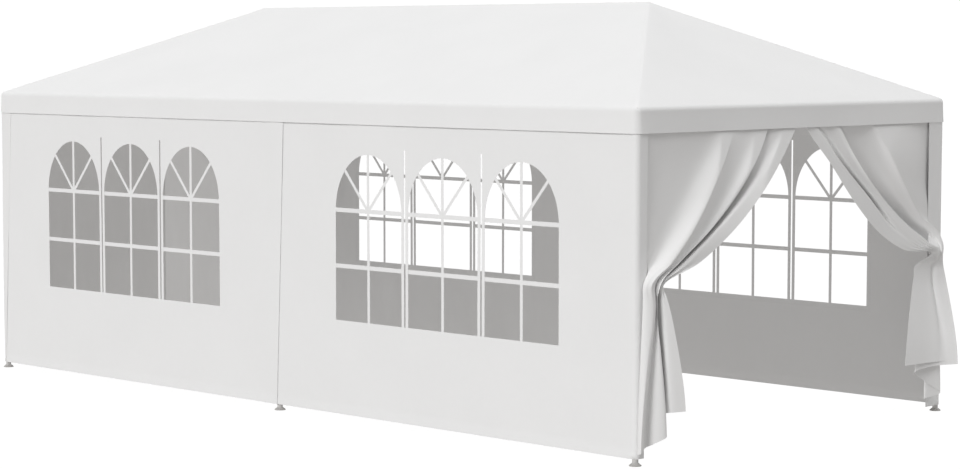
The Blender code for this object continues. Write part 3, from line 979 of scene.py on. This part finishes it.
def splineWeights(count, perGuide):
    # Rows of uniform cubic B-spline weights over the guides, with the ends held.
    rows = []
    for step in range((count - 1) * perGuide + 1):
        index = min(step // perGuide, count - 2)
        t = step / perGuide - index
        # One more guide is imagined past each end, in line with the last two.
        row = np.zeros(count + 2)
        row[index : index + 4] = (
            (1 - t) ** 3 / 6,
            (3 * t**3 - 6 * t**2 + 4) / 6,
            (-3 * t**3 + 3 * t**2 + 3 * t + 1) / 6,
            t**3 / 6,
        )
        row[1:3] += (2 * row[0], -row[0])
        row[-3:-1] += (-row[-1], 2 * row[-1])
        rows.append(row[1:-1])
    return np.array(rows)


def pleats(shape, tie, height):
    # The cloth is drawn up in fine folds at the tie, which open out above and below it.
    u = np.linspace(0, 1, shape[1])[None, :]
    v = np.linspace(0, 1, shape[0])[:, None]
    above, below = curtains["pleatReach"]
    near = np.exp(-(((v - tie) / np.where(v > tie, below, above)) ** 2))
    many, few = curtains["pleatWaves"]
    waves = np.sin(u * many + 2.0 * np.sin(u * 9)) + 0.4 * np.sin(u * few + 3 * v)
    start, least = curtains["pleatFrom"]
    return height * near * waves * (least + (1 - least) * smoothStep((u - start) / 0.1))


def makeCurtain(side, plan):
    guides = plan["guides"]
    stations = np.array([guideLine(plan, place, guide) for place, guide in enumerate(guides)])
    tail = [1 + level * curtains["tailSpacing"] for level in curtains["tailLevels"]]
    knots = np.array([*curtains["levels"], *tail])
    samples = np.linspace(0, knots[-1], curtains["rows"])
    weights = splineWeights(len(guides), curtains["columnsPerGuide"])
    across = np.einsum("cg,rgk->rck", weights, smoothDown(stations, knots, samples))
    s, stand, z = np.moveaxis(across, 2, 0)
    u = np.broadcast_to(weights @ np.linspace(0, 1, len(guides)), s.shape)
    v = np.broadcast_to((samples / knots[-1])[:, None], s.shape)
    stand = stand + pleats(s.shape, 1 / knots[-1], plan["pleat"])
    hem, room, flare = curtains["behindValance"]
    room = room + flare * np.maximum(hem - z, 0)
    soft = curtains["softness"]
    held = -np.logaddexp(-stand * soft, -room * soft) / soft  # the smaller, without a kink
    way = -1 if side == "front" else 1
    y = way * np.maximum(s + plan["lean"] * (held - stand), curtains["apart"])
    grid = np.stack([curtains["plane"] + held, y, z], 2)
    doorSeams.append(grid[:, -curtains["seamColumn"]])
    doorSeams.append(grid[-curtains["seamRow"], :])
    flat = np.stack([u * curtains["flat"][0], (1 - v) * curtains["flat"][1]], 2).reshape(-1, 2)
    faces = gridFaces(*s.shape)
    points = grid.reshape(-1, 3)
    piece = makePiece(f"curtain_{side}", points, faces, doorCloth, flat, flip=side == "front")
    thicken(piece, curtains["thickness"])
    finishPiece(piece, [f"door_curtain_{side}"])
    print(piece.name, "cloth area", round(sum(face.area for face in piece.data.polygons), 3))


doorSeams = []
makeCurtain("front", frontCurtain)
makeCurtain("back", backCurtain)
print("curtains made")


# Sewing and zip: one small shape, which Geometry Nodes repeats along lines

sewing = {
    "step": 0.0085,
    "length": 0.0062,
    "shoulder": 0.27,  # the thread is thick this far from its middle, as a share of its length
    "radius": 0.0008,
    "sides": 5,
    "aboveHem": 0.027,
    "fromWindow": 0.020,
    "fromEnd": 0.006,
    "straight": 0.04,  # longest straight run along a hem
    "round": 0.03,  # the same round a window
}

zipper = {
    "bottom": 0.060,
    "top": 1.880,
    "outside": 0.0022,
    "tape": (0.0170, 0.0009),  # half width, thickness
    "tapeEdge": 0.35,  # its rounding, as a share of its thickness
    "tapeSeam": 0.0125,
    "toothStep": 0.0030,
    "tooth": (0.0021, 0.0052, 0.0022),
    "toothEdge": 0.0005,
    "toothOut": 0.3,  # how far the teeth and slider stand out, as shares of a tooth's height
    "sliderOut": 0.8,
    "endGap": 0.01,
    "apart": 0.0011,
    "slider": (0.0140, 0.0110, 0.0056),
    "sliderEdge": 0.0018,
    "sliderAt": 0.105,
    "pull": (0.030, 0.0100, 0.0016),
    "pullSteps": (28, 8),
    "pullHole": 0.42,
    "pullOverlap": 0.004,
}


def repeatAlong(name, lines, shape, step, zigzag, material):
    # Copies of shape every step along the lines, by turns zigzag to the left and right of them.
    points = []
    edges = []
    for line in lines:
        edges += [(len(points) + index, len(points) + index + 1) for index in range(len(line) - 1)]
        points += [tuple(point) for point in line]
    mesh = bpy.data.meshes.new(name)
    mesh.from_pydata(points, edges, [])
    carrier = newObject(name, mesh)
    tree = bpy.data.node_groups.new(name, "GeometryNodeTree")
    start = Wire(tree)
    kinds = {"Lines": "Geometry", "Shape": "Object", "Step": "Float", "Zigzag": "Float", "Finish": "Material"}
    spots = {}
    for label, kind in kinds.items():
        made = tree.interface.new_socket(label, in_out="INPUT", socket_type=f"NodeSocket{kind}")
        spots[label] = made.identifier
    tree.interface.new_socket("Result", in_out="OUTPUT", socket_type="NodeSocketGeometry")

    def geometry(kind, output=0, settings=None, **inputs):
        return start.node(f"GeometryNode{kind}", settings, inputs, output)

    outputs = tree.nodes.new("NodeGroupInput").outputs
    given = {label: Wire(tree, outputs[label]) for label in kinds}
    curve = geometry("MeshToCurve", Mesh=given["Lines"])
    spread = geometry("CurveToPoints", "Points", {"mode": "LENGTH"}, Curve=curve, Length=given["Step"])
    tangent = Wire(tree, spread.socket.node.outputs["Tangent"])
    turn = start.node("FunctionNodeAlignRotationToVector", {"axis": "X"}, {"Vector": tangent})
    aside = (geometry("InputIndex") % 2.0 * 2.0 - 1.0) * given["Zigzag"]
    offset = start.node("ShaderNodeCombineXYZ", None, {"Y": aside})
    settled = geometry("SetPosition", Geometry=spread, Offset=offset)
    item = geometry("ObjectInfo", "Geometry", Object=given["Shape"])
    copies = geometry("InstanceOnPoints", Points=settled, Instance=item, Rotation=turn)
    solid = geometry("RealizeInstances", Geometry=copies)
    finish = geometry("SetMaterial", Geometry=solid, Material=given["Finish"])
    fillSockets(tree.nodes.new("NodeGroupOutput"), {"Result": finish})

    modifier = carrier.modifiers.new(name, "NODES")
    modifier.node_group = tree
    for label, value in {"Shape": shape, "Step": step, "Zigzag": zigzag, "Finish": material}.items():
        modifier[spots[label]] = value
    bpy.context.view_layer.update()
    ready = carrier.evaluated_get(bpy.context.evaluated_depsgraph_get())
    plain = bpy.data.meshes.new_from_object(ready)
    carrier.modifiers.remove(modifier)
    carrier.data = plain
    bpy.data.objects.remove(shape)
    return carrier


def threadShape():
    sides, length, radius = sewing["sides"], sewing["length"], sewing["radius"]
    points = [(-length / 2, 0, 0), (length / 2, 0, 0)]
    for end in (-sewing["shoulder"] * length, sewing["shoulder"] * length):
        for angle in math.tau * np.arange(sides) / sides:
            points.append((end, radius * math.cos(angle), radius * math.sin(angle)))
    faces = []
    for side in range(sides):
        here, after = 2 + side, 2 + (side + 1) % sides
        faces += [(0, after, here), (here, after, after + sides, here + sides)]
        faces.append((1, here + sides, after + sides))
    return makePiece("stitch", points, faces, thread)


def block(name, size, centre, radius, segments, material):
    # A block with rounded edges.
    made = bmesh.new()
    bmesh.ops.create_cube(made, size=1.0, matrix=Matrix.LocRotScale(centre, None, size))
    rounding = {"offset": radius, "segments": segments, "profile": 0.5, "clamp_overlap": True}
    bmesh.ops.bevel(made, geom=made.edges[:], affect="EDGES", **rounding)
    made.verts.index_update()
    points = [tuple(vertex.co) for vertex in made.verts]
    faces = [tuple(vertex.index for vertex in face.verts) for face in made.faces]
    made.free()
    return makePiece(name, points, faces, material)


def coverSeams():
    rings = coverRings()
    loops = [coverRing(ring)[0] for ring in rings]
    hemRing = 2
    seams = [loops[hemRing] + loops[hemRing][:1]]
    slope = [loop for ring, loop in zip(rings, loops) if 0.0 < ring[4] < 1.0]
    corner = cover["longColumns"] + 1 + cover["cornerColumns"]
    for half in (0, len(loops[0]) // 2):
        for column in (0, cover["longColumns"], corner, corner + cover["endColumns"]):
            seams.append([loop[half + column] for loop in slope])
    return seams


def hemSeam(kind, side, start, stop):
    level = tent["wallBottom"] + sewing["aboveHem"]
    hem = np.array(cutFine([(start, level), (stop, level)], sewing["straight"], closed=False))
    return onWall(kind, side, hem[:, 0], hem[:, 1])


def wallSeams():
    inset = sewing["fromEnd"]
    seams = []
    for side in ("front", "back"):
        for kind, start, stop in (
            ("left", walls["leftEnd"], walls["seamBottom"]),
            ("right", walls["underLap"], walls["endPlane"] - 2 * walls["bendRadius"]),
        ):
            seams.append(hemSeam(kind, side, start + inset, stop - inset))
            for middle in windowMiddles(kind):
                fine = cutFine(archOutline(middle, sewing["fromWindow"]), sewing["round"])
                fine = np.array(fine + fine[:1])
                seams.append(onWall(kind, side, fine[:, 0], fine[:, 1]))
    return seams


def makeSewing():
    stop = walls["doorPlane"] - 2 * walls["bendRadius"]
    x = -(walls["endPlane"] + zipper["outside"])
    for side, way in (("front", -1), ("back", 1)):
        doorSeams.append(hemSeam("door", side, 2 * sewing["fromEnd"], stop))
        y = way * zipper["tapeSeam"]
        doorSeams.append([(x, y, zipper["bottom"]), (x, y, zipper["top"])])
    groups = (
        ("cover", coverSeams(), "cover_fabric"),
        ("walls", wallSeams(), "wall_fabric"),
        ("door", doorSeams, "door_fabric"),
    )
    for name, lines, slotName in groups:
        piece = repeatAlong(f"stitches_{name}", lines, threadShape(), sewing["step"], 0.0, thread)
        finishPiece(piece)
        print(piece.name, len(piece.data.polygons), "faces")


def makeZip():
    bottom, top = zipper["bottom"], zipper["top"]
    width, thickness = zipper["tape"]
    x = -(walls["endPlane"] + zipper["outside"])
    size = (thickness, 2 * width, top - bottom)
    edge = thickness * zipper["tapeEdge"]
    tape = block("zipTape", size, (x, 0, (bottom + top) / 2), edge, 2, zipTape)
    finishPiece(tape)
    out = x - thickness / 2
    tooth = zipper["tooth"]
    shape = block("tooth", tooth, (0, 0, 0), zipper["toothEdge"], 1, zipPlastic)
    middle = out - tooth[2] * zipper["toothOut"]
    line = [(middle, 0, bottom + zipper["endGap"]), (middle, 0, top - zipper["endGap"])]
    teeth = repeatAlong("zipTeeth", [line], shape, zipper["toothStep"], zipper["apart"], zipPlastic)
    finishPiece(teeth)
    length, breadth, height = zipper["slider"]
    front = out - tooth[2] * zipper["sliderOut"] - height / 2
    spot = (front, 0, zipper["sliderAt"])
    body = block("zipSlider", (height, breadth, length), spot, zipper["sliderEdge"], 3, zipPlastic)
    finishPiece(body)
    finishPiece(makePull(front - height / 2))


def makePull(x):
    # A flat loop, which hangs from the slider.
    length, breadth, thickness = zipper["pull"]
    turns, sides = zipper["pullSteps"]
    middle = zipper["sliderAt"] - length / 2 + zipper["pullOverlap"]
    points = []
    for angle in math.tau * np.arange(turns) / turns:
        across = math.cos(angle) * breadth / 2
        down = math.sin(angle) * breadth / 2
        down += (length - breadth) / 2 * (1 if math.sin(angle) >= 0 else -1)
        for roll in math.tau * np.arange(sides) / sides:
            inwards = 1 - zipper["pullHole"] * (0.5 + 0.5 * math.cos(roll))
            out = thickness * (0.5 + 0.5 * math.sin(roll))
            points.append((x - out, across * inwards, middle + down * inwards))
    faces = []
    for turn in range(turns):
        here, after = turn * sides, (turn + 1) % turns * sides
        for side in range(sides):
            beside = (side + 1) % sides
            faces.append((here + side, after + side, after + beside, here + beside))
    return makePiece("zipPull", points, faces, zipPlastic)


makeSewing()
makeZip()
print("sewing and zip made")


# Frame: the CAD's own tubes, fittings and feet, with their finishes


def dressFrame():
    for name, node in frame["nodes"].items():
        if node.hide_render:
            continue
        if name.startswith("foot_"):
            finish = footPlastic
        elif "_fitting" in name:
            finish = fittingPaint
        else:
            finish = tubePaint
        node.data.materials.clear()
        node.data.materials.append(finish)


dressFrame()
print("frame dressed")


# Studio: white floor and surround, soft light from the front and above

studio = {
    "surround": 1.02,
    "sky": 0.30,
    "bounce": 0.51,
    "bounceWarmth": 0.021,
    "keyStrength": 1.70,
    "keyWay": (-0.130, 0.892, -0.433),
    "keySpread": 24.0,
    "topStrength": 1.37,
    "topWay": (-0.111, -0.390, -0.914),
    "topSpread": 50.0,
    "endStrength": 0.22,
    "endWay": (-1.0, 0.0, 0.0),
    "endSpread": 1.0,
    "floorGlow": 0.97,
    "floorColour": 0.10,
    "floorReach": 60.0,
    "floorLevel": -0.001,
}


def makeSun(name):
    light = bpy.data.lights.new(f"{name}Light", "SUN")
    light.energy = studio[f"{name}Strength"]
    light.angle = math.radians(studio[f"{name}Spread"])
    lamp = newObject(light.name, light)
    lamp.rotation_euler = Vector(studio[f"{name}Way"]).to_track_quat("-Z", "Y").to_euler()
    return lamp


def lightOnly(lamp, farWalls):
    # The low front light would throw window shapes on the inside of the far walls, so
    # these get only its share that runs along them.
    lit = bpy.data.collections.new(f"{lamp.name}Lit")
    for piece in bpy.data.objects:
        isFar = "_back" in piece.name and "curtain" not in piece.name
        if piece.type == "MESH" and isFar == farWalls:
            lit.objects.link(piece)
    lamp.light_linking.receiver_collection = lit


def makeStudio():
    world = bpy.data.worlds.new("studio")
    world.use_nodes = True
    bpy.context.scene.world = world
    seen = Wire(world.node_tree).node("ShaderNodeLightPath", output="Is Camera Ray")
    back = world.node_tree.nodes["Background"]
    strength = seen + (1 - seen) * studio["sky"]
    fillSockets(back, {"Strength": strength, "Color": grey(studio["surround"])})
    lightOnly(makeSun("key"), False)
    lightOnly(makeSun("end"), True)
    makeSun("top")
    finish, shader, seen = newMaterial("floor", "ShaderNodeLightPath", "Is Camera Ray")
    looks = {
        "Emission Strength": seen * studio["floorGlow"] + (1 - seen) * studio["bounce"],
        "Emission Color": mixColours(seen, grey(1.0, studio["bounceWarmth"]), grey(1.0)),
        "Base Color": mixColours(seen, grey(0.0), grey(studio["floorColour"])),
        "Roughness": 1.0,
        "Specular IOR Level": 0.0,
    }
    fillSockets(shader, looks)
    reach = studio["floorReach"]
    corners = ((-reach, -reach), (reach, -reach), (reach, reach), (-reach, reach))
    points = [(x, y, studio["floorLevel"]) for x, y in corners]
    floor = makePiece("floor", points, [(0, 1, 2, 3)], finish)


makeStudio()
print("studio made")


# Camera: long lens at head height, off the open corner

view = {
    "place": (11.7434, -11.5651, 2.3088),
    "turn": 44.557,
    "tilt": 4.424,
    "lens": 92.21,
    "sensor": 36.0,
    "sees": 200.0,
}


def makeCamera():
    data = bpy.data.cameras.new("camera")
    data.lens = view["lens"]
    data.sensor_width = view["sensor"]
    data.clip_end = view["sees"]
    camera = newObject("camera", data)
    camera.location = view["place"]
    camera.rotation_euler = (math.radians(90 - view["tilt"]), 0.0, math.radians(view["turn"]))
    bpy.context.scene.camera = camera
    bpy.context.scene.view_settings.view_transform = "Standard"


makeCamera()
print("camera made")
